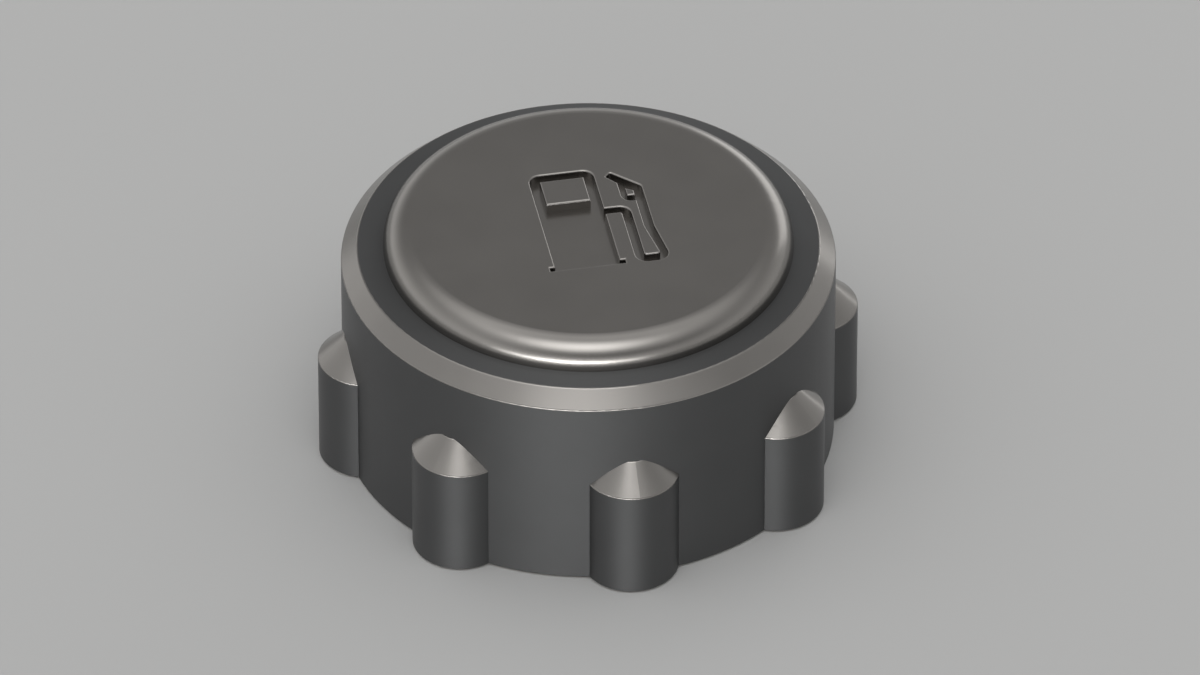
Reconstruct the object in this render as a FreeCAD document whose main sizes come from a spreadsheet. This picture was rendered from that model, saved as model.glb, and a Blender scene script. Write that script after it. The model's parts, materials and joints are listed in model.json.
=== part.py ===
import FreeCAD, Part
import Sketcher
import math
import os

# Fuel filler cap, vented and ratcheting, in millimetres. The origin is the centre of the rim that
# faces the filler neck, +Z runs up through the disc on top, and one grip lug points along -Y.
# A metal cover with eight lugs turns a threaded closure through a ratchet. The closure carries
# the neck gasket, the pressure valve and, inside that, the vacuum valve.

# Driving dimensions. Every name is also an alias in the spreadsheet. The cap is laid out from the
# filler neck: outwards through the closure to the cover, inwards to the ratchet, the hub and the
# valves, and upwards from the rim. The gaps and walls between the pieces are what is given here.
DRIVING_SIZES = {
    # Filler neck and the closure's wall round it
    "neck_radius": 21.0,
    "neck_depth": 9.2,
    "closure_wall": 3.3,
    "lead_in": 0.8,
    # Fits
    "running_gap": 0.3,
    "axial_gap": 0.05,
    "loose_fit": 0.1,
    "push_fit": 0.05,
    # Cover, outside
    "cover_wall": 2.4,
    "shoulder_wall": 2.5,
    "shoulder_bevel": 1.75,
    "land_width": 2.85,
    "roof_thickness": 2.6,
    "disc_foot": 0.1,
    "edge_rounding": 0.25,
    "rim_break": 0.3,
    "lug_count": 8,
    "lug_protrusion": 3.0,
    "lug_radius": 5.25,
    "lug_height": 16.0,
    "lug_bevel": 2.9,
    # Filling-pump sign sunk in the disc: pump, hose and nozzle, measured from the disc's centre
    "sign_depth": 1.1,
    "sign_edge_rounding": 0.2,
    "sign_left": -5.0,
    "sign_top": 9.15,
    "sign_bottom": -7.7,
    "pump_width": 7.1,
    "pump_corner": 1.25,
    "foot_overhang": 0.6,
    "foot_height": 0.6,
    "window_margin": 1.1,
    "window_height": 4.15,
    "hose_width": 0.95,
    "hose_exit_level": 2.15,
    "hose_drop": 4.93,
    "hose_bend": 1.3,
    "hose_inner_bend": 0.35,
    "loop_width": 1.15,
    "limb_outside": 6.9,
    "limb_kink_level": -1.75,
    "loop_outside": 7.75,
    "nozzle_tip_left": 3.35,
    "nozzle_tip_level": 7.65,
    "nozzle_width": 0.85,
    "nozzle_shoulder_level": 5.4,
    "nozzle_corner": 0.7,
    "guard_outside": 4.45,
    "guard_top_level": 6.35,
    "guard_bottom_level": 3.0,
    "guard_width": 0.6,
    "guard_bend": 1.1,
    # Snap ring and thrust washer under the closure
    "rim_land": 1.5,
    "snap_ring_thickness": 1.2,
    "snap_ring_grip": 0.9,
    "snap_ring_width": 2.6,
    "snap_ring_ear_radius": 1.5,
    "snap_ring_hole_radius": 0.6,
    "snap_ring_gap": 5.0,
    "thrust_washer_thickness": 0.45,
    # Gasket, deck, collar and valve tower of the closure
    "gasket_thickness": 1.6,
    "gasket_width": 4.3,
    "gasket_undercut": 0.6,
    "gasket_bevel": 0.7,
    "deck_thickness": 2.0,
    "collar_width": 1.0,
    "collar_drop": 1.3,
    "filter_width": 3.95,
    "tower_wall": 2.0,
    "vent_margin": 3.5,
    "seat_width": 1.0,
    "seat_height": 0.5,
    "tower_height": 6.0,
    "tower_window_count": 4,
    "tower_window_width": 3.0,
    "tower_window_sill": 1.5,
    "tower_window_height": 2.5,
    # Ratchet ring in the cover
    "ratchet_step": 1.2,
    "ring_wall": 1.6,
    "ring_height": 4.8,
    "tooth_count": 24,
    "tooth_depth": 1.2,
    "tooth_land_angle": 1.5,
    "tooth_backlash_angle": 0.4,
    "key_count": 4,
    "key_reach": 1.0,
    "key_width": 2.8,
    # Hub and pawls on the closure
    "pawl_count": 3,
    "pawl_arm_gap": 1.0,
    "pawl_arm_thickness": 1.0,
    "pawl_flex_gap": 1.6,
    "pawl_arm_angle": 46.0,
    "pawl_root_angle": 10.0,
    "pawl_lift": 0.6,
    "pawl_headroom": 1.1,
    "pawl_tooth_angle": 12.5,
    "pawl_clearance": 0.35,
    "hub_wall": 1.8,
    "hub_rise": 0.6,
    "hub_flange_width": 3.2,
    "hub_flange_thickness": 1.4,
    "hub_window_width": 3.0,
    "hub_window_sill": 3.2,
    "hub_window_height": 2.2,
    "screw_angle": 80.0,
    "screw_radius": 0.8,
    "screw_head_radius": 1.3,
    "screw_head_height": 0.9,
    "screw_depth": 1.5,
    "screw_slot_width": 0.4,
    # Washers between the hub and the cover
    "pocket_margin": 2.5,
    "washer_width": 3.5,
    "wear_washer_thickness": 0.4,
    "wave_washer_thickness": 0.35,
    "wave_washer_height": 1.8,
    "wave_count": 3,
    # Vent parts on the tower and under the deck
    "valve_cap_thickness": 0.8,
    "valve_cap_wall": 0.6,
    "valve_cap_drop": 1.4,
    "valve_cap_margin": 0.6,
    "baffle_thickness": 0.6,
    "baffle_rim_width": 0.9,
    "baffle_hole_count": 8,
    "baffle_hole_radius": 1.2,
    "baffle_hole_inset": 4.5,
    # Pressure valve
    "seal_thickness": 1.2,
    "plate_margin": 0.8,
    "plate_thickness": 0.6,
    "plate_rim_height": 0.5,
    "plate_hole_count": 8,
    "plate_hole_radius": 0.45,
    "pressure_wire_radius": 0.45,
    "pressure_turns": 3,
    # Vacuum valve
    "stem_radius": 1.0,
    "stem_clearance": 0.2,
    "poppet_margin": 1.1,
    "poppet_overlap": 1.0,
    "poppet_head_thickness": 1.2,
    "vacuum_spring_height": 2.3,
    "vacuum_wire_radius": 0.2,
    "vacuum_spring_margin": 0.5,
    "vacuum_turns": 3,
    "clip_margin": 0.3,
    "clip_thickness": 0.5,
    "clip_groove_depth": 0.3,
    "stem_tip": 0.3,
}


# A size that knows both its number and the spreadsheet formula behind it
class Size:
    def __init__(self, number, formula):
        self.number = number
        self.formula = formula

    def __add__(self, other):
        other = as_size(other)
        return Size(self.number + other.number, f"({self.formula} + {other.formula})")

    def __sub__(self, other):
        other = as_size(other)
        return Size(self.number - other.number, f"({self.formula} - {other.formula})")

    def __mul__(self, other):
        other = as_size(other)
        return Size(self.number * other.number, f"({self.formula} * {other.formula})")

    def __truediv__(self, other):
        other = as_size(other)
        return Size(self.number / other.number, f"({self.formula} / {other.formula})")

    def __rmul__(self, other):
        return as_size(other) * self

    def __rsub__(self, other):
        return as_size(other) - self

    def __rtruediv__(self, other):
        return as_size(other) / self

    def __neg__(self):
        return Size(-self.number, f"(0 - {self.formula})")


def as_size(value):
    return value if isinstance(value, Size) else Size(float(value), str(value))


def polar(radius, angle):
    """The X and Y of a point given by its radius and its angle in degrees."""
    turn = math.radians(angle.number)
    cosine = Size(math.cos(turn), f"cos({angle.formula})")
    sine = Size(math.sin(turn), f"sin({angle.formula})")
    return radius * cosine, radius * sine


doc = FreeCAD.newDocument("FuelFillerCap")


# Spreadsheet of driving dimensions
def make_sheet():
    sheet = doc.addObject("Spreadsheet::Sheet", "Sizes")
    for row, (name, number) in enumerate(DRIVING_SIZES.items(), start=1):
        sheet.set(f"A{row}", name)
        sheet.set(f"B{row}", str(number))
        sheet.setAlias(f"B{row}", name)
    doc.recompute()
    return {name: Size(float(sheet.get(name)), f"Sizes.{name}") for name in DRIVING_SIZES}


S = make_sheet()
NOTHING = as_size(0)

# Levels that several pieces share, from the rim upwards
thrust_level = S["rim_land"] + S["snap_ring_thickness"]
closure_level = thrust_level + S["thrust_washer_thickness"] + S["axial_gap"]
seal_face_level = closure_level + S["neck_depth"]
deck_underside = seal_face_level + S["gasket_thickness"]
deck_level = deck_underside + S["deck_thickness"]
ratchet_step_level = deck_level + S["running_gap"]
flange_level = deck_level + S["hub_flange_thickness"]
ratchet_bottom_level = flange_level + S["running_gap"]
ratchet_top_level = ratchet_bottom_level + S["ring_height"]
hub_top_level = ratchet_top_level + S["hub_rise"]
wear_washer_level = hub_top_level + S["loose_fit"]
wave_washer_level = wear_washer_level + S["wear_washer_thickness"]
ceiling_level = wave_washer_level + S["wave_washer_height"]
shoulder_level = ratchet_top_level + S["shoulder_wall"]
disc_level = ceiling_level + S["roof_thickness"]
seat_level = deck_level + S["seat_height"]
plate_level = seat_level + S["seal_thickness"]
plate_top_level = plate_level + S["plate_thickness"]
tower_top_level = deck_level + S["tower_height"]
clip_level = plate_top_level + S["vacuum_spring_height"]

# Radii that several pieces share, from the neck outwards
closure_radius = S["neck_radius"] + S["closure_wall"]
cover_bore_radius = closure_radius + S["running_gap"]
cover_radius = cover_bore_radius + S["cover_wall"]
puck_radius = cover_radius - S["shoulder_bevel"] - S["land_width"]
disc_rounding = disc_level - shoulder_level - S["disc_foot"]
disc_radius = puck_radius - disc_rounding
lug_circle_radius = cover_radius + S["lug_protrusion"] - S["lug_radius"]
snap_ring_radius = cover_bore_radius + S["snap_ring_grip"]

# Radii from the cover's bore inwards
ratchet_seat_radius = cover_bore_radius - S["ratchet_step"]
tooth_root_radius = ratchet_seat_radius - S["ring_wall"]
tooth_tip_radius = tooth_root_radius - S["tooth_depth"]
pawl_arm_radius = tooth_tip_radius - S["pawl_arm_gap"]
hub_radius = pawl_arm_radius - S["pawl_arm_thickness"] - S["pawl_flex_gap"]
hub_inner_radius = hub_radius - S["hub_wall"]
hub_flange_radius = hub_radius + S["hub_flange_width"]
washer_inner_radius = hub_radius - S["washer_width"]
screw_circle_radius = hub_radius + S["hub_flange_width"] / 2
gasket_radius = S["neck_radius"] + S["gasket_undercut"] - S["loose_fit"]
gasket_inner_radius = gasket_radius - S["gasket_width"]
collar_outer_radius = gasket_inner_radius - 2 * S["loose_fit"]
collar_inner_radius = collar_outer_radius - S["collar_width"]

# Radii from the hub inwards through the filter, the tower and the valves
filter_radius = hub_inner_radius - 2 * S["loose_fit"]
filter_inner_radius = filter_radius - S["filter_width"]
tower_radius = filter_inner_radius - S["push_fit"]
tower_inner_radius = tower_radius - S["tower_wall"]
plate_radius = tower_inner_radius - S["plate_margin"]
vent_radius = tower_inner_radius - S["vent_margin"]
poppet_head_radius = vent_radius - S["poppet_margin"]
seal_hole_radius = poppet_head_radius - S["poppet_overlap"]
stem_hole_radius = S["stem_radius"] + S["stem_clearance"]
vacuum_coil_radius = stem_hole_radius + S["vacuum_spring_margin"] + S["vacuum_wire_radius"]
clip_radius = vacuum_coil_radius + S["vacuum_wire_radius"] + S["clip_margin"]
valve_cap_hole_radius = clip_radius + S["valve_cap_margin"]


# Building blocks
def make_body(label):
    body = doc.addObject("PartDesign::Body", label)
    body.Label = label
    return body


def origin_feature(body, role):
    return [item for item in body.Origin.OriginFeatures if item.Role == role][0]


def make_sketch(body, name, plane="XZ_Plane", shift_x=NOTHING, height=NOTHING):
    """A sketch on one of the body's own planes, moved along its X and its normal."""
    sketch = body.newObject("Sketcher::SketchObject", name)
    sketch.AttachmentSupport = [(origin_feature(body, plane), "")]
    sketch.MapMode = "FlatFace"
    sketch.AttachmentOffset = FreeCAD.Placement(
        FreeCAD.Vector(shift_x.number, 0, height.number), FreeCAD.Rotation())
    sketch.setExpression("AttachmentOffset.Base.x", shift_x.formula)
    sketch.setExpression("AttachmentOffset.Base.z", height.formula)
    return sketch


def bind(sketch, constraint, formula):
    index = sketch.addConstraint(constraint)
    sketch.setExpression(f"Constraints[{index}]", formula)


def place_point(sketch, geometry, point, x, y):
    """Hold one point of the sketch at x and y from its origin."""
    vertical_axis = -2
    horizontal_axis = -1
    if x.formula == "0":
        sketch.addConstraint(Sketcher.Constraint("PointOnObject", geometry, point, vertical_axis))
    else:
        bind(sketch, Sketcher.Constraint("DistanceX", -1, 1, geometry, point, x.number), x.formula)
    if y.formula == "0":
        sketch.addConstraint(Sketcher.Constraint("PointOnObject", geometry, point, horizontal_axis))
    else:
        bind(sketch, Sketcher.Constraint("DistanceY", -1, 1, geometry, point, y.number), y.formula)


def corner_arc(before, corner, after, rounding):
    """The arc that rounds a corner, the two points where it starts and ends, and its turn."""
    to_before = (before - corner).normalize()
    to_after = (after - corner).normalize()
    half_angle = to_before.getAngle(to_after) / 2
    reach = rounding / math.tan(half_angle)
    entry = corner + to_before * reach
    leave = corner + to_after * reach
    middle = (to_before + to_after).normalize()
    centre = corner + middle * (rounding / math.sin(half_angle))
    turns_left = to_before.cross(to_after).z < 0
    circle = Part.Circle(centre, FreeCAD.Vector(0, 0, 1), rounding)
    first, last = (entry, leave) if turns_left else (leave, entry)
    arc = Part.ArcOfCircle(circle, circle.parameter(first), circle.parameter(last))
    return arc, entry, leave, turns_left


def draw_outline(sketch, corners):
    """A closed outline of straight sides. Each corner is (x, y) or (x, y, rounding)."""
    count = len(corners)
    points = [FreeCAD.Vector(corner[0].number, corner[1].number, 0) for corner in corners]
    entries = list(points)
    leaves = list(points)
    arcs = {}
    for index, corner in enumerate(corners):
        if len(corner) == 3:
            before = points[index - 1]
            after = points[(index + 1) % count]
            arc, entries[index], leaves[index], turns_left = corner_arc(
                before, points[index], after, corner[2].number)
            arcs[index] = (sketch.addGeometry(arc, False), turns_left)
    sides = []
    for index in range(count):
        side = Part.LineSegment(leaves[index], entries[(index + 1) % count])
        sides.append(sketch.addGeometry(side, False))
    for index, corner in enumerate(corners):
        side_before = sides[index - 1]
        side_after = sides[index]
        if index not in arcs:
            sketch.addConstraint(Sketcher.Constraint("Coincident", side_before, 2, side_after, 1))
            place_point(sketch, side_after, 1, corner[0], corner[1])
            continue
        arc, turns_left = arcs[index]
        arc_entry, arc_leave = (1, 2) if turns_left else (2, 1)
        sharp = sketch.addGeometry(Part.Point(points[index]), True)
        place_point(sketch, sharp, 1, corner[0], corner[1])
        sketch.addConstraint(Sketcher.Constraint("PointOnObject", sharp, 1, side_before))
        sketch.addConstraint(Sketcher.Constraint("PointOnObject", sharp, 1, side_after))
        sketch.addConstraint(Sketcher.Constraint("Tangent", side_before, 2, arc, arc_entry))
        sketch.addConstraint(Sketcher.Constraint("Tangent", arc, arc_leave, side_after, 1))
        bind(sketch, Sketcher.Constraint("Radius", arc, corner[2].number), corner[2].formula)


def draw_circle(sketch, radius, x=NOTHING, y=NOTHING):
    centre = FreeCAD.Vector(x.number, y.number, 0)
    circle = sketch.addGeometry(
        Part.Circle(centre, FreeCAD.Vector(0, 0, 1), radius.number), False)
    place_point(sketch, circle, 3, x, y)
    bind(sketch, Sketcher.Constraint("Radius", circle, radius.number), radius.formula)


def rectangle(left, bottom, right, top):
    return [(left, bottom), (right, bottom), (right, top), (left, top)]


def add_feature(body, kind, name, sketch, removes):
    """A feature on a sketch. It has to add or remove material, or the build stops."""
    doc.recompute()
    volume_before = body.Shape.Volume if body.Tip and body.Tip != sketch else 0.0
    feature = body.newObject(f"PartDesign::{kind}", name)
    feature.Profile = sketch
    return feature, volume_before, removes


def settle(body, feature, volume_before, removes):
    body.Tip = feature
    doc.recompute()
    change = body.Shape.Volume - volume_before
    if (removes and change >= 0) or (not removes and change <= 0):
        raise RuntimeError(f"{body.Label}.{feature.Name} changed the volume by {change:.3f}")
    return feature


def revolve(body, name, outlines, removes=False, shift_x=NOTHING, angle=as_size(360)):
    """Turn outlines of radius and height about the sketch's upright axis."""
    sketch = make_sketch(body, f"{name}Profile", shift_x=shift_x)
    for outline in outlines:
        draw_outline(sketch, outline)
    kind = "Groove" if removes else "Revolution"
    feature, volume, removes = add_feature(body, kind, name, sketch, removes)
    feature.ReferenceAxis = (sketch, ["V_Axis"])
    feature.setExpression("Angle", angle.formula)
    return settle(body, feature, volume, removes)


def extrude(body, name, bottom, height, outlines=(), circles=(), removes=False):
    """Add or cut a prism that stands on level bottom, from outlines and circles in plan."""
    sketch = make_sketch(body, f"{name}Plan", "XY_Plane", height=bottom)
    for outline in outlines:
        draw_outline(sketch, outline)
    for circle in circles:
        draw_circle(sketch, *circle)
    kind = "Pocket" if removes else "Pad"
    feature, volume, removes = add_feature(body, kind, name, sketch, removes)
    feature.Reversed = removes
    feature.setExpression("Length", height.formula)
    return settle(body, feature, volume, removes)


def round_edges(body, name, edges, radius):
    """Round edges of the body as it stands."""
    base = body.Tip
    volume = body.Shape.Volume
    feature = body.newObject("PartDesign::Fillet", name)
    feature.Base = (base, edges)
    feature.setExpression("Radius", radius.formula)
    return settle(body, feature, volume, removes=True)


def repeat(body, name, features, count):
    """Repeat features round the upright axis."""
    pattern = body.newObject("PartDesign::PolarPattern", name)
    pattern.Originals = features
    pattern.Axis = (origin_feature(body, "Z_Axis"), [""])
    pattern.Angle = 360
    pattern.setExpression("Occurrences", count.formula)
    body.Tip = pattern
    doc.recompute()
    return pattern


def coil(body, name, wire_radius, coil_radius, bottom, height, turns):
    """A round wire wound upwards, with its first and last turn lying on the two end levels."""
    sketch = make_sketch(body, f"{name}Wire")
    draw_circle(sketch, wire_radius, coil_radius, bottom + wire_radius)
    doc.recompute()
    helix = body.newObject("PartDesign::AdditiveHelix", name)
    helix.Profile = sketch
    helix.ReferenceAxis = (sketch, ["V_Axis"])
    helix.Mode = "height-turns-angle"
    helix.setExpression("Height", (height - 2 * wire_radius).formula)
    helix.setExpression("Turns", turns.formula)
    return settle(body, helix, 0.0, False)


# Cover: turned shell with grip lugs, stepped bore, key slots, snap ring groove and sunk sign
def sign_outlines():
    """The pump with its window, and the hose with its nozzle and trigger guard."""
    left = S["sign_left"]
    right = left + S["pump_width"]
    top = S["sign_top"]
    bottom = S["sign_bottom"]
    foot_top = bottom + S["foot_height"]
    overhang = S["foot_overhang"]
    pump = [
        (left, foot_top), (left, top, S["pump_corner"]), (right, top, S["pump_corner"]),
        (right, foot_top), (right + overhang, foot_top), (right + overhang, bottom),
        (left - overhang, bottom), (left - overhang, foot_top)]
    margin = S["window_margin"]
    window_top = top - margin
    window = rectangle(left + margin, window_top - S["window_height"], right - margin, window_top)

    width = S["hose_width"]
    start = right - width / 2
    exit_top = S["hose_exit_level"]
    drop = S["hose_drop"]
    loop_bottom = bottom - overhang / 4
    limb_inside = S["limb_outside"] - width
    loop_top = loop_bottom + S["loop_width"]
    loop_inside = S["loop_outside"] - width
    kink = S["limb_kink_level"]
    tip_left = S["nozzle_tip_left"]
    tip_level = S["nozzle_tip_level"]
    tip_step = S["nozzle_width"] * 0.7
    tip_corner = S["nozzle_width"] / 5
    guard = S["guard_outside"]
    guard_bottom = S["guard_bottom_level"]
    hose = [
        (start, exit_top), (drop, exit_top, S["hose_bend"]),
        (drop, loop_top, S["hose_inner_bend"]), (loop_inside, loop_top, S["hose_inner_bend"]),
        (limb_inside, kink), (limb_inside, guard_bottom), (guard, guard_bottom, S["guard_bend"]),
        (guard, S["guard_top_level"]), (tip_left, tip_level, tip_corner),
        (tip_left + tip_step, tip_level + tip_step, tip_corner),
        (S["limb_outside"], S["nozzle_shoulder_level"], S["nozzle_corner"]),
        (S["limb_outside"], kink), (S["loop_outside"], loop_bottom, S["hose_bend"]),
        (drop - width, loop_bottom, S["hose_bend"]),
        (drop - width, exit_top - width, S["hose_inner_bend"]), (start, exit_top - width)]
    guard_inside = guard + S["guard_width"]
    finger_top = S["nozzle_shoulder_level"] - width * 0.7
    finger_gap = [
        (guard_inside, guard_bottom + width), (limb_inside, guard_bottom + width),
        (limb_inside, finger_top), (guard_inside, finger_top + S["guard_width"])]
    return [pump, window], [hose, finger_gap]


def make_cover():
    body = make_body("outer_cover")
    radius = cover_radius
    bevel = S["shoulder_bevel"]
    edge = S["edge_rounding"]
    revolve(body, "Shell", [[
        (NOTHING, NOTHING), (radius - S["rim_break"], NOTHING), (radius, S["rim_break"]),
        (radius, shoulder_level - bevel, edge), (radius - bevel, shoulder_level, edge),
        (puck_radius, shoulder_level), (puck_radius, disc_level, disc_rounding),
        (NOTHING, disc_level)]])

    lug_radius = S["lug_radius"]
    lug = revolve(body, "Lug", [[
        (NOTHING, NOTHING), (lug_radius - S["rim_break"], NOTHING), (lug_radius, S["rim_break"]),
        (lug_radius, S["lug_height"] - S["lug_bevel"], edge),
        (lug_radius - S["lug_bevel"], S["lug_height"], edge), (NOTHING, S["lug_height"])]],
        shift_x=lug_circle_radius)
    repeat(body, "Lugs", [lug], S["lug_count"])

    below_rim = -S["rim_land"]
    pocket_radius = hub_radius + S["pocket_margin"]
    revolve(body, "Bore", [[
        (NOTHING, below_rim), (cover_bore_radius, below_rim),
        (cover_bore_radius, ratchet_step_level), (ratchet_seat_radius, ratchet_step_level),
        (ratchet_seat_radius, ratchet_top_level), (pocket_radius, ratchet_top_level),
        (pocket_radius, ceiling_level), (NOTHING, ceiling_level)]], removes=True)
    groove_radius = snap_ring_radius + S["loose_fit"]
    revolve(body, "SnapRingGroove", [rectangle(
        cover_bore_radius - S["snap_ring_width"], S["rim_land"] - S["loose_fit"],
        groove_radius, thrust_level + S["loose_fit"])], removes=True)

    slot_half = S["key_width"] / 2 + S["loose_fit"]
    seat_depth = ratchet_top_level - ratchet_step_level
    key_slot_radius = ratchet_seat_radius + S["key_reach"] + 2 * S["loose_fit"]
    slot = extrude(body, "KeySlot", ratchet_step_level, seat_depth, [rectangle(
        ratchet_seat_radius - S["key_reach"], -slot_half, key_slot_radius, slot_half)],
        removes=True)
    repeat(body, "KeySlots", [slot], S["key_count"])

    floor_level = disc_level - S["sign_depth"]
    pump, hose = sign_outlines()
    extrude(body, "SignPump", floor_level, S["sign_depth"], pump, removes=True)
    extrude(body, "SignHose", floor_level, S["sign_depth"], hose, removes=True)
    round_edges(body, "SignEdges", sign_top_edges(body), S["sign_edge_rounding"])
    return body


def sign_top_edges(body):
    """The names of the edges where the sunk sign opens in the disc."""
    names = []
    for number, edge in enumerate(body.Shape.Edges, start=1):
        box = edge.BoundBox
        reach = math.hypot(max(-box.XMin, box.XMax), max(-box.YMin, box.YMax))
        on_disc = abs(box.ZMin - disc_level.number) < 1e-6 and box.ZLength < 1e-6
        if on_disc and reach < disc_radius.number:
            names.append(f"Edge{number}")
    return names


# Ratchet ring: saw teeth inside, keys outside that stop it turning in the cover
def make_ratchet_ring():
    body = make_body("ratchet_ring")
    height = S["ring_height"]
    outside = ratchet_seat_radius - S["push_fit"]
    tip = tooth_tip_radius
    extrude(body, "Ring", ratchet_bottom_level, height, circles=[(outside,), (tip,)])
    key_half = S["key_width"] / 2
    key = extrude(body, "Key", ratchet_bottom_level, height, [rectangle(
        outside - S["key_reach"], -key_half, ratchet_seat_radius + S["key_reach"], key_half)])
    repeat(body, "Keys", [key], S["key_count"])

    pitch = 360 / S["tooth_count"]
    start = -S["tooth_backlash_angle"]
    ramp_end = start + pitch - S["tooth_land_angle"]
    inside = tip - S["tooth_depth"] / 4
    space = extrude(body, "ToothSpace", ratchet_bottom_level, height, [[
        polar(inside, start), polar(tooth_root_radius, start),
        polar(tip, ramp_end), polar(inside, ramp_end)]], removes=True)
    repeat(body, "ToothSpaces", [space], S["tooth_count"])
    return body


# Snap ring: flat split ring with two eared ends
def make_snap_ring():
    body = make_body("snap_ring")
    outside = snap_ring_radius
    inside = outside - S["snap_ring_width"]
    bottom = S["rim_land"]
    thickness = S["snap_ring_thickness"]
    extrude(body, "Ring", bottom, thickness, circles=[(outside,), (inside,)])
    ear_radius = S["snap_ring_ear_radius"]
    ear_side = S["snap_ring_gap"] / 2 + ear_radius
    for name, side in (("LeftEar", -ear_side), ("RightEar", ear_side)):
        extrude(body, name, bottom, thickness, circles=[(ear_radius, inside, side)])
        extrude(body, f"{name}Hole", bottom, thickness,
                circles=[(S["snap_ring_hole_radius"], inside, side)], removes=True)
    half_gap = S["snap_ring_gap"] / 2
    extrude(body, "Split", bottom, thickness, [rectangle(
        inside - ear_radius, -half_gap, outside + ear_radius, half_gap)], removes=True)
    return body


def make_washer(label, bottom, thickness, inside, outside):
    body = make_body(label)
    extrude(body, "Ring", bottom, thickness, circles=[(outside,), (inside,)])
    return body


# Wave washer: a thin ring whose height swings up and down as it goes round, up to the ceiling
def make_wave_washer():
    thickness = S["wave_washer_thickness"].number
    low = wave_washer_level.number
    swing = S["wave_washer_height"].number - thickness
    inside = washer_inner_radius.number
    outside = hub_radius.number
    waves = int(S["wave_count"].number)
    stations = 16 * waves
    sections = []
    for station in range(stations):
        turn = 2 * math.pi * station / stations
        height = low + swing * (1 - math.cos(waves * turn)) / 2
        corners = [(inside, height), (outside, height),
                   (outside, height + thickness), (inside, height + thickness)]
        points = [FreeCAD.Vector(radius * math.cos(turn), radius * math.sin(turn), level)
                  for radius, level in corners]
        sections.append(Part.makePolygon(points + points[:1]))
    washer = doc.addObject("Part::Feature", "wave_washer")
    washer.Label = "wave_washer"
    washer.Shape = ruled_ring(sections)
    return washer


def ruled_ring(sections):
    """A solid whose skin joins closed sections one after another and back to the first."""
    faces = []
    for section, following in zip(sections, sections[1:] + sections[:1]):
        for edge, next_edge in zip(section.Edges, following.Edges):
            faces.append(Part.makeRuledSurface(edge, next_edge))
    return Part.makeSolid(Part.makeShell(faces))


# Closure body: threaded skirt, deck, valve tower and the collar under the deck
def make_closure():
    body = make_body("closure_body")
    neck = S["neck_radius"]
    undercut = neck + S["gasket_undercut"]
    collar_level = deck_underside - S["collar_drop"]
    revolve(body, "Turning", [[
        (neck + S["lead_in"], closure_level), (closure_radius, closure_level),
        (closure_radius, deck_level), (tower_radius, deck_level),
        (tower_radius, tower_top_level), (tower_inner_radius, tower_top_level),
        (tower_inner_radius, deck_level), (vent_radius + S["seat_width"], deck_level),
        (vent_radius + S["seat_width"], seat_level), (vent_radius, seat_level),
        (vent_radius, deck_underside), (collar_inner_radius, deck_underside),
        (collar_inner_radius, collar_level), (collar_outer_radius, collar_level),
        (collar_outer_radius, deck_underside), (undercut, deck_underside),
        (undercut, seal_face_level), (neck, seal_face_level),
        (neck, closure_level + S["lead_in"])]])

    half_width = S["tower_window_width"] / 2
    window = extrude(
        body, "TowerWindow", deck_level + S["tower_window_sill"], S["tower_window_height"],
        [rectangle(tower_inner_radius - half_width, -half_width,
                   tower_radius + half_width, half_width)], removes=True)
    repeat(body, "TowerWindows", [window], S["tower_window_count"])

    x, y = polar(screw_circle_radius, S["screw_angle"])
    pilot_depth = S["screw_depth"] + S["loose_fit"]
    pilot = extrude(body, "ScrewHole", deck_level - pilot_depth, pilot_depth,
                    circles=[(S["screw_radius"] + S["push_fit"], x, y)], removes=True)
    repeat(body, "ScrewHoles", [pilot], S["pawl_count"])
    return body


# Drive hub: flanged sleeve with flexible pawls that point against the opening direction
def make_drive_hub():
    body = make_body("drive_hub")
    revolve(body, "Sleeve", [[
        (hub_inner_radius, deck_level), (hub_flange_radius, deck_level),
        (hub_flange_radius, flange_level), (hub_radius, flange_level),
        (hub_radius, hub_top_level), (hub_inner_radius, hub_top_level)]])

    arm_bottom = flange_level + S["pawl_lift"]
    arm_top = ratchet_top_level - S["pawl_headroom"]
    arm_outside = pawl_arm_radius
    arm_inside = arm_outside - S["pawl_arm_thickness"]
    arm_angle = S["pawl_arm_angle"]
    root_start = arm_angle - S["pawl_root_angle"] / 2
    root_end = arm_angle + S["pawl_root_angle"] / 2
    inside_wall = hub_radius - S["hub_wall"] / 3
    root = extrude(body, "PawlRoot", flange_level, arm_top - flange_level, [[
        polar(inside_wall, root_start), polar(arm_outside, root_start),
        polar(arm_outside, root_end), polar(inside_wall, root_end)]])
    arm = revolve(body, "PawlArm", [rectangle(arm_inside, arm_bottom, arm_outside, arm_top)],
                  angle=arm_angle)
    tooth_reach = tooth_root_radius - S["pawl_clearance"]
    tooth_back = tooth_tip_radius - S["pawl_clearance"]
    tooth = extrude(body, "PawlTooth", arm_bottom, arm_top - arm_bottom, [[
        (arm_inside, NOTHING), (tooth_reach, NOTHING), polar(tooth_back, S["pawl_tooth_angle"]),
        polar(arm_inside, S["pawl_tooth_angle"])]])
    repeat(body, "Pawls", [root, arm, tooth], S["pawl_count"])

    x, y = polar(screw_circle_radius, S["screw_angle"])
    hole = extrude(body, "ScrewHole", deck_level, S["hub_flange_thickness"],
                   circles=[(S["screw_radius"] + S["loose_fit"], x, y)], removes=True)
    repeat(body, "ScrewHoles", [hole], S["pawl_count"])
    half_width = S["hub_window_width"] / 2
    window = extrude(body, "Window", deck_level + S["hub_window_sill"], S["hub_window_height"],
                     [rectangle(-hub_radius - half_width, -half_width,
                                -hub_inner_radius + half_width, half_width)], removes=True)
    repeat(body, "Windows", [window], S["pawl_count"])
    return body


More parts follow.
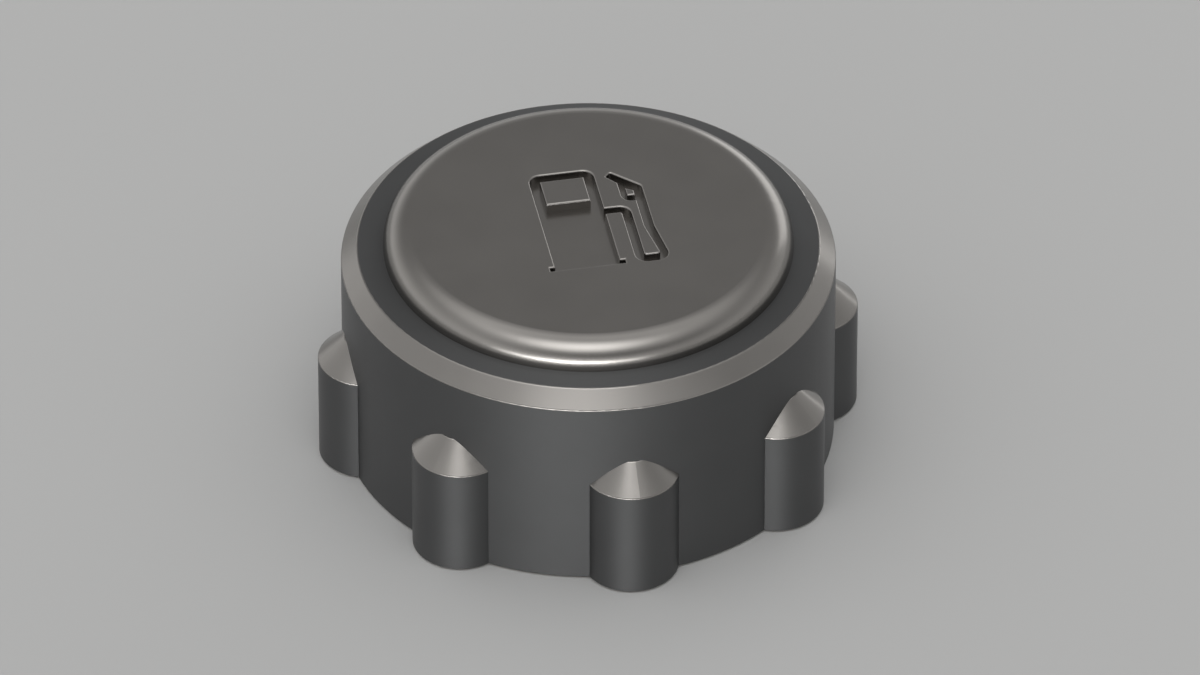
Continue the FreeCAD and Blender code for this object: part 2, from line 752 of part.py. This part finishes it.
# Hub screws: slotted heads on the hub's flange, one solid each
def make_hub_screws():
    body = make_body("hub_screws")
    body.AllowCompound = True
    x, y = polar(screw_circle_radius, S["screw_angle"])
    shank_length = S["screw_depth"] + S["hub_flange_thickness"]
    shank = extrude(body, "Shank", flange_level - shank_length, shank_length,
                    circles=[(S["screw_radius"], x, y)])
    head = extrude(body, "Head", flange_level, S["screw_head_height"],
                   circles=[(S["screw_head_radius"], x, y)])
    slot_depth = S["screw_head_height"] / 2
    slot_half = S["screw_slot_width"] / 2
    reach = S["screw_head_radius"] * 2
    slot = extrude(body, "Slot", flange_level + slot_depth, slot_depth, [rectangle(
        x - reach, y - slot_half, x + reach, y + slot_half)], removes=True)
    repeat(body, "Screws", [shank, head, slot], S["pawl_count"])
    return body


# Neck gasket: flat rubber ring in the undercut. Its outer bevel leaves a face inside the neck bore
def make_neck_gasket():
    body = make_body("neck_gasket")
    corner = S["rim_break"]
    bevel = S["gasket_bevel"]
    revolve(body, "Ring", [[
        (gasket_inner_radius + corner, seal_face_level), (gasket_radius - bevel, seal_face_level),
        (gasket_radius, seal_face_level + bevel), (gasket_radius, deck_underside),
        (gasket_inner_radius, deck_underside), (gasket_inner_radius, seal_face_level + corner)]])
    return body


# Splash baffle: perforated dish pushed into the collar up to the deck
def make_splash_baffle():
    body = make_body("splash_baffle")
    outside = collar_inner_radius - S["loose_fit"]
    rim_inside = outside - S["baffle_rim_width"]
    floor = deck_underside - S["collar_drop"] + S["loose_fit"]
    floor_top = floor + S["baffle_thickness"]
    revolve(body, "Dish", [[
        (NOTHING, floor), (outside, floor), (outside, deck_underside),
        (rim_inside, deck_underside), (rim_inside, floor_top), (NOTHING, floor_top)]])
    hole = extrude(body, "Hole", floor, S["baffle_thickness"], circles=[
        (S["baffle_hole_radius"], collar_inner_radius - S["baffle_hole_inset"])], removes=True)
    repeat(body, "Holes", [hole], S["baffle_hole_count"])
    return body


# Valve cap: lid on the tower with a brim that holds the foam ring down
def make_valve_cap():
    body = make_body("valve_cap")
    inside = tower_radius + S["push_fit"]
    outside = inside + S["valve_cap_wall"]
    brim_radius = hub_inner_radius - S["running_gap"]
    brim_level = tower_top_level - S["valve_cap_drop"]
    brim_top = brim_level + S["valve_cap_wall"]
    lid_top = tower_top_level + S["valve_cap_thickness"]
    revolve(body, "Lid", [[
        (valve_cap_hole_radius, tower_top_level), (inside, tower_top_level),
        (inside, brim_level), (brim_radius, brim_level), (brim_radius, brim_top),
        (outside, brim_top), (outside, lid_top), (valve_cap_hole_radius, lid_top)]])
    return body


# Pressure plate: dished plate on the rubber seal, with a ring of air holes round the stem
def make_pressure_plate():
    body = make_body("pressure_plate")
    rim_inside = plate_radius - S["plate_thickness"]
    revolve(body, "Dish", [[
        (stem_hole_radius, plate_level), (plate_radius, plate_level),
        (plate_radius, plate_top_level + S["plate_rim_height"]),
        (rim_inside, plate_top_level + S["plate_rim_height"]),
        (rim_inside, plate_top_level), (stem_hole_radius, plate_top_level)]])
    hole_circle = seal_hole_radius - S["plate_hole_radius"] - S["push_fit"]
    hole = extrude(body, "AirHole", plate_level, S["plate_thickness"], circles=[
        (S["plate_hole_radius"], hole_circle)], removes=True)
    repeat(body, "AirHoles", [hole], S["plate_hole_count"])
    return body


# Vacuum poppet: disc under the seal with a stem that passes the plate
def make_vacuum_poppet():
    body = make_body("vacuum_poppet")
    head = poppet_head_radius
    head_bottom = seat_level - S["poppet_head_thickness"]
    bevel = S["poppet_head_thickness"] / 2
    stem = S["stem_radius"]
    neck = stem - S["clip_groove_depth"]
    groove_bottom = clip_level - S["push_fit"]
    groove_top = clip_level + S["clip_thickness"] + S["push_fit"]
    stem_top = groove_top + S["stem_tip"]
    revolve(body, "Turning", [[
        (NOTHING, head_bottom), (head - bevel, head_bottom), (head, head_bottom + bevel),
        (head, seat_level), (stem, seat_level), (stem, groove_bottom), (neck, groove_bottom),
        (neck, groove_top), (stem, groove_top), (stem, stem_top), (NOTHING, stem_top)]])
    return body


# Poppet clip: slotted ring that snaps into the stem's groove and takes the vacuum spring
def make_poppet_clip():
    body = make_body("poppet_clip")
    neck = S["stem_radius"] - S["clip_groove_depth"] + S["push_fit"]
    extrude(body, "Ring", clip_level, S["clip_thickness"], circles=[(clip_radius,), (neck,)])
    mouth = neck * 0.85
    extrude(body, "Mouth", clip_level, S["clip_thickness"], [rectangle(
        NOTHING, -mouth, clip_radius + neck, mouth)], removes=True)
    return body


def make_pressure_spring():
    body = make_body("pressure_spring")
    coil_radius = (valve_cap_hole_radius + plate_radius - S["plate_thickness"]) / 2
    coil(body, "Winding", S["pressure_wire_radius"], coil_radius,
         plate_top_level, tower_top_level - plate_top_level, S["pressure_turns"])
    return body


def make_vacuum_spring():
    body = make_body("vacuum_spring")
    coil(body, "Winding", S["vacuum_wire_radius"], vacuum_coil_radius,
         plate_top_level, S["vacuum_spring_height"], S["vacuum_turns"])
    return body


def build_all():
    return [
        make_cover(),
        make_ratchet_ring(),
        make_snap_ring(),
        make_washer("thrust_washer", thrust_level, S["thrust_washer_thickness"],
                    S["neck_radius"] + S["lead_in"] + 2 * S["loose_fit"],
                    cover_bore_radius - 2 * S["loose_fit"]),
        make_washer("wear_washer", wear_washer_level, S["wear_washer_thickness"],
                    washer_inner_radius, hub_radius),
        make_wave_washer(),
        make_closure(),
        make_drive_hub(),
        make_hub_screws(),
        make_neck_gasket(),
        make_splash_baffle(),
        make_washer("vent_filter", deck_level, S["tower_height"] - S["valve_cap_drop"],
                    filter_inner_radius, filter_radius),
        make_valve_cap(),
        make_pressure_spring(),
        make_washer("pressure_seal", seat_level, S["seal_thickness"],
                    seal_hole_radius, plate_radius - 2 * S["loose_fit"]),
        make_pressure_plate(),
        make_vacuum_spring(),
        make_vacuum_poppet(),
        make_poppet_clip(),
    ]


def check(pieces):
    for item in doc.Objects:
        if "Invalid" in item.State or "Error" in item.State:
            raise RuntimeError(f"{item.Name} failed: {item.State}")
    for piece in pieces:
        if piece.Shape.isNull() or not piece.Shape.isValid() or not piece.Shape.Solids:
            raise RuntimeError(f"{piece.Label} has no valid solid")


pieces = build_all()
check(pieces)
os.makedirs("parts", exist_ok=True)
for piece in pieces:
    piece.Shape.exportStep(f"parts/{piece.Label}.step")
    print(piece.Label, len(piece.Shape.Solids), round(piece.Shape.Volume, 2))
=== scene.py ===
"""Looks of the fuel filler cap: satin dark metal cover, moulded closure, valve parts and thread.

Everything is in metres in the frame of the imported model, with +Z up. Small sizes are written
in millimetres and multiplied by MM, and angles are in degrees.
"""

import json
import math

import bpy
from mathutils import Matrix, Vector
from mathutils.bvhtree import BVHTree


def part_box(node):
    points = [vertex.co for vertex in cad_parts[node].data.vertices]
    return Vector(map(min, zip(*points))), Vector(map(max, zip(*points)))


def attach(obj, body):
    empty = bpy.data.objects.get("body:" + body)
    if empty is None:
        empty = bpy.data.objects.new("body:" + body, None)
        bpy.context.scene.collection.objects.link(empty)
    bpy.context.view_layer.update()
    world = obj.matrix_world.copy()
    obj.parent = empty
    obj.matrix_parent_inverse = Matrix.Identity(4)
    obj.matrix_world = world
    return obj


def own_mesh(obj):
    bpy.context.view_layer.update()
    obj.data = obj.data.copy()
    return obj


MM = 0.001
FULL_TURN = 360.0

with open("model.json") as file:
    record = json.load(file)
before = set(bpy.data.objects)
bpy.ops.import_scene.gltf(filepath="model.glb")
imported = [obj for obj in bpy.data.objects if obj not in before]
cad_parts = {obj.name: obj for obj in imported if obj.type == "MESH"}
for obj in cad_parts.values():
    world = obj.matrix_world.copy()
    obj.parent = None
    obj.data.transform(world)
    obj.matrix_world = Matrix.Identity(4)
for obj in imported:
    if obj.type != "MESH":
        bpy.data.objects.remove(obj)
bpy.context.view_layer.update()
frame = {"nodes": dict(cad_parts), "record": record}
nodes = frame["nodes"]
mounts = {mount["name"]: mount for mount in frame["record"]["mounts"]}

# Sizes read from the frame
cover_low, cover_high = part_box("outer_cover")
closure_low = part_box("closure_body")[0]
gasket_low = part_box("neck_gasket")[0]
NECK_RADIUS = mounts["neck_thread"]["dims"]["r_mm"] * MM

# Material patterns: a slow drift of the colour and a fine grain, both in object millimetres
NOISE_ROUGHNESS = 0.55
GRAIN_DETAIL = 4.0
DRIFT_SCALE = 0.12
DRIFT_DETAIL = 2.0
DRIFT_DARK = 0.3
DRIFT_PALE = 0.7

# Cover: its upright outer walls and the flat land round the disc get the turned finish, and a darker
# colour than the rest of the cover, which is painted shade.
# The walls' normals lean at most WALL_LEAN up or down, and the land's rise at least LAND_RISE.
COVER_COLOUR = (0.252, 0.241, 0.228)
# A darker copy of the cover's colour for its walls and land: painted shade.
WALL_SHADE_COLOUR = (0.109, 0.110, 0.111)
TURNED_ANISOTROPY = 0.7
TURNED_ROTATION = 0.25
WALL_LEAN = 0.03
WALL_INNER_EDGE = cover_high.x - 4.0 * MM
LAND_RISE = 0.99
LAND_INNER_EDGE = cover_high.x - 8.5 * MM
LAND_LOWEST = cover_high.z - 4.0 * MM
LAND_HIGHEST = cover_high.z - 2.0 * MM

# Neck thread: one right-hand ridge inside the closure's bore, which fades in and out at its ends
THREAD_PITCH = 3.0 * MM
THREAD_DEPTH = 0.8 * MM
THREAD_ROOT_HALF = 0.95 * MM
THREAD_CREST_HALF = 0.35 * MM
THREAD_SUNK = 0.03 * MM
THREAD_BOTTOM_GAP = 1.0 * MM
THREAD_TOP_GAP = 0.5 * MM
THREAD_STEP = 3.0
THREAD_FADE = 30.0
THREAD_LEAST_FADE = 0.05
THREAD_SHARP_ANGLE = 30.0

# Floor: the hole in it follows the cover's outline, and ends a little inside it. Round the hole
# lie rings, each with its outer radius and its number of sides.
FLOOR_GAP = 0.005 * MM
FLOOR_OVERLAP = 0.45 * MM
FLOOR_RINGS = [(33 * MM, 720), (60 * MM, 72), (3.0, 12)]
FLOOR_COLOUR = (0.42, 0.42, 0.416)
FLOOR_ROUGHNESS = 0.9
OUTLINE_SIDES = 720
OUTLINE_HEIGHT = 1.0 * MM
OUTLINE_NEIGHBOURS = 2

# Sky: its levels go by the sine of the height. In front and behind it has a dark band, which the
# sides lack, and from left to right it gets darker.
SKY_FRONT = [(0.0, 2.3), (0.2, 2.2), (0.34, 1.6), (0.44, 0.9), (0.52, 0.7), (0.6, 1.0), (0.7, 1.7),
             (0.8, 2.5), (0.9, 2.8), (1.0, 2.2)]
SKY_BACK = [(0.0, 2.3), (0.2, 2.2), (0.34, 1.5), (0.48, 0.95), (0.6, 0.8), (0.7, 1.0), (0.78, 2.0),
            (0.88, 2.8), (1.0, 2.2)]
SKY_SIDES = [(0.0, 2.2), (0.5, 1.9), (0.78, 2.0), (0.88, 2.6), (1.0, 2.2)]
SKY_ACROSS = [(0.2, 1.25), (0.8, 0.9)]
SKY_BLEND = 0.3
SKY_STRENGTH = 0.375

# Two soft glows, each by its direction's azimuth and elevation, its fade by the cosine of the
# angle from there, and its fade by the sine of the height. The first is a low strip in front,
# which the upright walls catch, and the second is high up.
GLOWS = [
    ((-20, 0), [(0.75, 0.0), (0.93, 23.0), (1.0, 54.0)], [(0.0, 1.0), (0.05, 0.9), (0.13, 0.0)]),
    ((-16, 70), [(0.90, 0.0), (0.96, 3.2), (1.0, 7.0)], [(0.0, 1.0)]),
]

# Lamp: a soft box behind the cap on the right
LAMP_AZIMUTH = 142
LAMP_ELEVATION = 10
LAMP_DISTANCE = 0.7
LAMP_WIDTH = 0.45
LAMP_HEIGHT = 0.35
LAMP_WATTS = 0.5

# Camera of the photograph
CAMERA_AZIMUTH = -10.8
CAMERA_ELEVATION = 38.4
CAMERA_DISTANCE = 1.6
CAMERA_TARGET = Vector((1.0 * MM, -1.5 * MM, 13.0 * MM))
CAMERA_NEAREST = 0.05
CAMERA_FURTHEST = 20.0
PIXELS_PER_METRE = 9140.0
PHOTO_WIDTH = 1200
SENSOR_WIDTH = 36.0


# Objects
def add_object(name, data):
    made = bpy.data.objects.new(name, data)
    bpy.context.scene.collection.objects.link(made)
    return made


def add_mesh_object(name, points, faces):
    mesh = bpy.data.meshes.new(name)
    mesh.from_pydata(points, [], faces)
    return add_object(name, mesh)


def direction_to(azimuth, elevation):
    """Azimuth 0 is in front, at -Y, and grows towards +X."""
    turn = math.radians(azimuth)
    rise = math.radians(elevation)
    return Vector((math.sin(turn) * math.cos(rise), -math.cos(turn) * math.cos(rise),
                   math.sin(rise)))


def aim_at_target(thing, azimuth, elevation, distance):
    """Place a lamp or camera round the cap so that it looks at the camera's target."""
    direction = direction_to(azimuth, elevation)
    thing.location = CAMERA_TARGET + direction * distance
    thing.rotation_euler = direction.to_track_quat("Z", "Y").to_euler()


# Nodes
def add(tree, kind, **settings):
    node = tree.nodes.new(kind)
    for name, value in settings.items():
        setattr(node, name, value)
    return node


def find(tree, kind):
    return next(node for node in tree.nodes if node.type == kind)


def new_material(name):
    material = bpy.data.materials.new(name)
    material.use_nodes = True
    tree = material.node_tree
    tree.nodes.clear()
    output = add(tree, "ShaderNodeOutputMaterial")
    shader = add(tree, "ShaderNodeBsdfPrincipled")
    tree.links.new(shader.outputs[0], output.inputs[0])
    return material, tree, shader


def place(tree):
    """Object coordinates in millimetres."""
    where = add(tree, "ShaderNodeTexCoord")
    mapping = add(tree, "ShaderNodeMapping")
    mapping.inputs["Scale"].default_value = [1 / MM] * 3
    tree.links.new(where.outputs["Object"], mapping.inputs["Vector"])
    return mapping.outputs["Vector"]


def noise(tree, vector, scale, detail):
    node = add(tree, "ShaderNodeTexNoise")
    node.inputs["Scale"].default_value = scale
    node.inputs["Detail"].default_value = detail
    node.inputs["Roughness"].default_value = NOISE_ROUGHNESS
    tree.links.new(vector, node.inputs["Vector"])
    return node.outputs["Fac"]


def ramp(tree, value, stops):
    node = add(tree, "ShaderNodeValToRGB")
    elements = node.color_ramp.elements
    while len(elements) > 1:
        elements.remove(elements[-1])
    for index, (position, colour) in enumerate(stops):
        element = elements[0] if index == 0 else elements.new(position)
        element.position = position
        element.color = (*colour, 1.0)
    tree.links.new(value, node.inputs["Fac"])
    return node.outputs["Color"]


def grey_ramp(tree, value, stops):
    return ramp(tree, value, [(position, (level, level, level)) for position, level in stops])


def mix_colours(tree, kind, factor, first, second):
    """The factor is a number or another node's output."""
    node = add(tree, "ShaderNodeMix", data_type="RGBA", blend_type=kind)
    if isinstance(factor, float):
        node.inputs["Factor"].default_value = factor
    else:
        tree.links.new(factor, node.inputs["Factor"])
    tree.links.new(first, node.inputs["A"])
    tree.links.new(second, node.inputs["B"])
    return node.outputs["Result"]


def span(tree, value, low, high, start=0.0, end=1.0):
    """Map start to end onto low to high."""
    node = add(tree, "ShaderNodeMapRange")
    node.inputs["From Min"].default_value = start
    node.inputs["From Max"].default_value = end
    node.inputs["To Min"].default_value = low
    node.inputs["To Max"].default_value = high
    tree.links.new(value, node.inputs["Value"])
    return node.outputs["Result"]


def bump(tree, shader, height, distance):
    node = add(tree, "ShaderNodeBump")
    node.inputs["Strength"].default_value = 1.0
    node.inputs["Distance"].default_value = distance
    tree.links.new(height, node.inputs["Height"])
    tree.links.new(node.outputs["Normal"], shader.inputs["Normal"])


# Materials
def shade(colour, factor):
    return tuple(part * factor for part in colour)


def tinted_material(name, colour, variation, grain_scale, roughness, grain_depth, metallic=0.0):
    """Colour that drifts a little, roughness that follows a fine grain, and the grain as bump."""
    material, tree, shader = new_material(name)
    where = place(tree)
    drift = noise(tree, where, DRIFT_SCALE, DRIFT_DETAIL)
    grain = noise(tree, where, grain_scale, GRAIN_DETAIL)
    drifting = ramp(tree, drift, [(DRIFT_DARK, shade(colour, 1 - variation)),
                                  (DRIFT_PALE, shade(colour, 1 + variation))])
    tree.links.new(drifting, shader.inputs["Base Color"])
    smoothest, roughest = roughness
    tree.links.new(span(tree, grain, smoothest, roughest), shader.inputs["Roughness"])
    shader.inputs["Metallic"].default_value = metallic
    bump(tree, shader, grain, grain_depth)
    return material


def turned_shaded_material():
    """The cover's metal where it was turned: fine marks run round the axis and stretch the shine.
    Its darker colour is painted shade on the walls and land.
    """
    # The darker colour here is painted shade on the cover's walls and land.
    material = tinted_material(
        "turned_metal_painted_shade", WALL_SHADE_COLOUR, variation=0.03, grain_scale=6.0,
        roughness=(0.45, 0.51), grain_depth=0.001 * MM, metallic=1.0)
    tree = material.node_tree
    shader = find(tree, "BSDF_PRINCIPLED")
    shader.inputs["Anisotropic"].default_value = TURNED_ANISOTROPY
    shader.inputs["Anisotropic Rotation"].default_value = TURNED_ROTATION
    direction = add(tree, "ShaderNodeTangent", direction_type="RADIAL", axis="Z")
    tree.links.new(direction.outputs["Tangent"], shader.inputs["Tangent"])
    return material


MATERIALS = {
    "cover_metal": tinted_material(
        "satin_dark_metal", COVER_COLOUR, variation=0.04, grain_scale=6.0,
        roughness=(0.21, 0.27), grain_depth=0.001 * MM, metallic=1.0),
    "ratchet_plastic": tinted_material(
        "natural_acetal", (0.62, 0.60, 0.53), variation=0.03, grain_scale=2.0,
        roughness=(0.38, 0.5), grain_depth=0.01 * MM),
    "spring_steel": tinted_material(
        "spring_steel", (0.50, 0.50, 0.49), variation=0.08, grain_scale=4.0,
        roughness=(0.22, 0.34), grain_depth=0.0008 * MM, metallic=1.0),
    "closure_plastic": tinted_material(
        "filled_black_plastic", (0.022, 0.022, 0.024), variation=0.15, grain_scale=3.0,
        roughness=(0.42, 0.58), grain_depth=0.015 * MM),
    "gasket_rubber": tinted_material(
        "black_rubber", (0.016, 0.016, 0.017), variation=0.2, grain_scale=2.5,
        roughness=(0.6, 0.8), grain_depth=0.02 * MM),
    "foam": tinted_material(
        "open_cell_foam", (0.10, 0.105, 0.115), variation=0.25, grain_scale=1.5,
        roughness=(0.85, 0.98), grain_depth=0.15 * MM),
    "valve_brass": tinted_material(
        "turned_brass", (0.62, 0.44, 0.17), variation=0.06, grain_scale=5.0,
        roughness=(0.2, 0.32), grain_depth=0.0008 * MM, metallic=1.0),
}


def dress_nodes():
    for part in frame["record"]["subparts"]:
        node = nodes[part["node"]]
        node.data.materials.clear()
        node.data.materials.append(MATERIALS[part["material_slot"]])
        for polygon in node.data.polygons:
            polygon.material_index = 0


def turn_and_shade_cover_walls():
    """The cover's upright outer walls with the lugs, and the land, get the turned finish and a
    darker colour, which is painted shade.
    """
    cover = nodes["outer_cover"]
    cover.data.materials.append(turned_shaded_material())
    for polygon in cover.data.polygons:
        away = Vector((polygon.center.x, polygon.center.y, 0))
        upright = abs(polygon.normal.z) < WALL_LEAN and polygon.normal.dot(away) > 0
        level = polygon.normal.z > LAND_RISE and LAND_LOWEST < polygon.center.z < LAND_HIGHEST
        wall = upright and away.length > WALL_INNER_EDGE
        land = level and away.length > LAND_INNER_EDGE
        # These walls and land take the darker colour of painted shade.
        if wall or land:
            polygon.material_index = 1


# Pieces
def thread_section(turn, level, fade):
    """Four corners of the ridge's section: two sunk in the bore's wall and two at its crest."""
    wall = NECK_RADIUS + THREAD_SUNK
    crest = NECK_RADIUS - THREAD_DEPTH * fade
    corners = []
    for radius, rise in ((wall, -THREAD_ROOT_HALF), (crest, -THREAD_CREST_HALF),
                         (crest, THREAD_CREST_HALF), (wall, THREAD_ROOT_HALF)):
        corners.append((radius * math.cos(turn), radius * math.sin(turn), level + rise * fade))
    return corners


def make_neck_thread():
    bottom = closure_low.z + THREAD_BOTTOM_GAP + THREAD_ROOT_HALF
    top = gasket_low.z - THREAD_TOP_GAP - THREAD_ROOT_HALF
    sweep = FULL_TURN * (top - bottom) / THREAD_PITCH
    steps = round(sweep / THREAD_STEP)
    points = []
    for step in range(steps + 1):
        angle = sweep * step / steps
        fade = min(1.0, angle / THREAD_FADE, (sweep - angle) / THREAD_FADE)
        level = bottom + THREAD_PITCH * angle / FULL_TURN
        points += thread_section(math.radians(angle), level, max(THREAD_LEAST_FADE, fade))
    faces = [(0, 1, 2, 3), tuple(4 * steps + corner for corner in (3, 2, 1, 0))]
    for step in range(steps):
        for corner in range(4):
            following = (corner + 1) % 4
            faces.append((4 * step + corner, 4 * step + 4 + corner,
                          4 * step + 4 + following, 4 * step + following))
    ridge = add_mesh_object("neck_thread_ridge", points, faces)
    ridge.data.validate()
    ridge.data.materials.append(MATERIALS["closure_plastic"])
    ridge.data.shade_smooth()
    ridge.data.set_sharp_from_angle(angle=math.radians(THREAD_SHARP_ANGLE))
    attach(ridge, "closure")


def squash_spring(name):
    """Gives a valve spring its own copy of its mesh."""
    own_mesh(nodes[name])


dress_nodes()
turn_and_shade_cover_walls()
make_neck_thread()
squash_spring("pressure_spring")
squash_spring("vacuum_spring")


# Floor
def on_circle(step, sides):
    turn = 2 * math.pi * step / sides
    return Vector((math.cos(turn), math.sin(turn), 0.0))


def outline_distances():
    """How far the cover's outer wall is from the axis all round, just above the rim."""
    shell = nodes["outer_cover"].data
    cover = BVHTree.FromPolygons([vertex.co for vertex in shell.vertices],
                                 [polygon.vertices for polygon in shell.polygons])
    distances = []
    for step in range(OUTLINE_SIDES):
        outwards = on_circle(step, OUTLINE_SIDES)
        start = outwards * 2 * cover_high.x
        start.z = cover_low.z + OUTLINE_HEIGHT
        on_wall = cover.ray_cast(start, -outwards)[0]
        distances.append(Vector((on_wall.x, on_wall.y)).length)
    return distances


def hole_points():
    """The cover's outline, drawn in by the overlap from the nearest wall on either side."""
    distances = outline_distances()
    shifts = range(-OUTLINE_NEIGHBOURS, OUTLINE_NEIGHBOURS + 1)
    points = []
    for step in range(OUTLINE_SIDES):
        nearest = min(distances[(step + shift) % OUTLINE_SIDES] for shift in shifts)
        points.append(on_circle(step, OUTLINE_SIDES) * (nearest - FLOOR_OVERLAP))
    return points


def floor_material():
    """Pale from above and clear from below."""
    material, tree, shader = new_material("pale_floor")
    shader.inputs["Base Color"].default_value = (*FLOOR_COLOUR, 1.0)
    shader.inputs["Roughness"].default_value = FLOOR_ROUGHNESS
    clear = add(tree, "ShaderNodeBsdfTransparent")
    side = add(tree, "ShaderNodeNewGeometry")
    either = add(tree, "ShaderNodeMixShader")
    tree.links.new(side.outputs["Backfacing"], either.inputs[0])
    tree.links.new(shader.outputs[0], either.inputs[1])
    tree.links.new(clear.outputs[0], either.inputs[2])
    tree.links.new(either.outputs[0], find(tree, "OUTPUT_MATERIAL").inputs[0])
    return material


def make_floor():
    """A floor with a hole that the cap hides from above."""
    points = hole_points()
    faces = []
    first = 0
    inner_sides = OUTLINE_SIDES
    for radius, sides in FLOOR_RINGS:
        outer_first = len(points)
        points += [on_circle(step, sides) * radius for step in range(sides)]
        ratio = inner_sides // sides
        for step in range(sides):
            near = [first + (step * ratio + part) % inner_sides for part in range(ratio + 1)]
            far = [outer_first + step, outer_first + (step + 1) % sides]
            faces.append(far + near[::-1])
        first = outer_first
        inner_sides = sides
    floor = add_mesh_object("floor", points, faces)
    floor.location.z = cover_low.z - FLOOR_GAP
    floor.data.materials.append(floor_material())


# Light and camera
def sky_levels(tree, split):
    """The sky by height, blended from front to back and towards the sides."""
    front = grey_ramp(tree, split.outputs["Z"], SKY_FRONT)
    back = grey_ramp(tree, split.outputs["Z"], SKY_BACK)
    sides = grey_ramp(tree, split.outputs["Z"], SKY_SIDES)
    backwards = span(tree, split.outputs["Y"], 0.0, 1.0, -SKY_BLEND, SKY_BLEND)
    middle = mix_colours(tree, "MIX", backwards, front, back)
    sideways = add(tree, "ShaderNodeMath", operation="MULTIPLY")
    tree.links.new(split.outputs["X"], sideways.inputs[0])
    tree.links.new(split.outputs["X"], sideways.inputs[1])
    sky = mix_colours(tree, "MIX", sideways.outputs[0], middle, sides)
    across = span(tree, split.outputs["X"], 0.0, 1.0, -1.0, 1.0)
    return mix_colours(tree, "MULTIPLY", 1.0, sky, grey_ramp(tree, across, SKY_ACROSS))


def make_world():
    world = bpy.data.worlds.new("studio")
    bpy.context.scene.world = world
    world.use_nodes = True
    tree = world.node_tree
    where = add(tree, "ShaderNodeTexCoord")
    split = add(tree, "ShaderNodeSeparateXYZ")
    tree.links.new(where.outputs["Generated"], split.inputs[0])
    light = sky_levels(tree, split)
    for centre, by_angle, by_height in GLOWS:
        angle = add(tree, "ShaderNodeVectorMath", operation="DOT_PRODUCT")
        angle.inputs[1].default_value = direction_to(*centre)
        tree.links.new(where.outputs["Generated"], angle.inputs[0])
        glow = mix_colours(tree, "MULTIPLY", 1.0,
                           grey_ramp(tree, angle.outputs["Value"], by_angle),
                           grey_ramp(tree, split.outputs["Z"], by_height))
        light = mix_colours(tree, "ADD", 1.0, light, glow)
    background = tree.nodes["Background"]
    background.inputs["Strength"].default_value = SKY_STRENGTH
    tree.links.new(light, background.inputs["Color"])


def make_lamp():
    data = bpy.data.lights.new("right", "AREA")
    data.shape = "RECTANGLE"
    data.size = LAMP_WIDTH
    data.size_y = LAMP_HEIGHT
    data.energy = LAMP_WATTS
    aim_at_target(add_object("right", data), LAMP_AZIMUTH, LAMP_ELEVATION, LAMP_DISTANCE)


def make_camera():
    data = bpy.data.cameras.new("camera")
    data.sensor_width = SENSOR_WIDTH
    data.lens = PIXELS_PER_METRE * CAMERA_DISTANCE * SENSOR_WIDTH / PHOTO_WIDTH
    data.clip_start = CAMERA_NEAREST
    data.clip_end = CAMERA_FURTHEST
    camera = add_object("camera", data)
    aim_at_target(camera, CAMERA_AZIMUTH, CAMERA_ELEVATION, CAMERA_DISTANCE)
    bpy.context.scene.camera = camera


make_floor()
make_world()
make_lamp()
make_camera()
bpy.context.scene.view_settings.view_transform = "Standard"
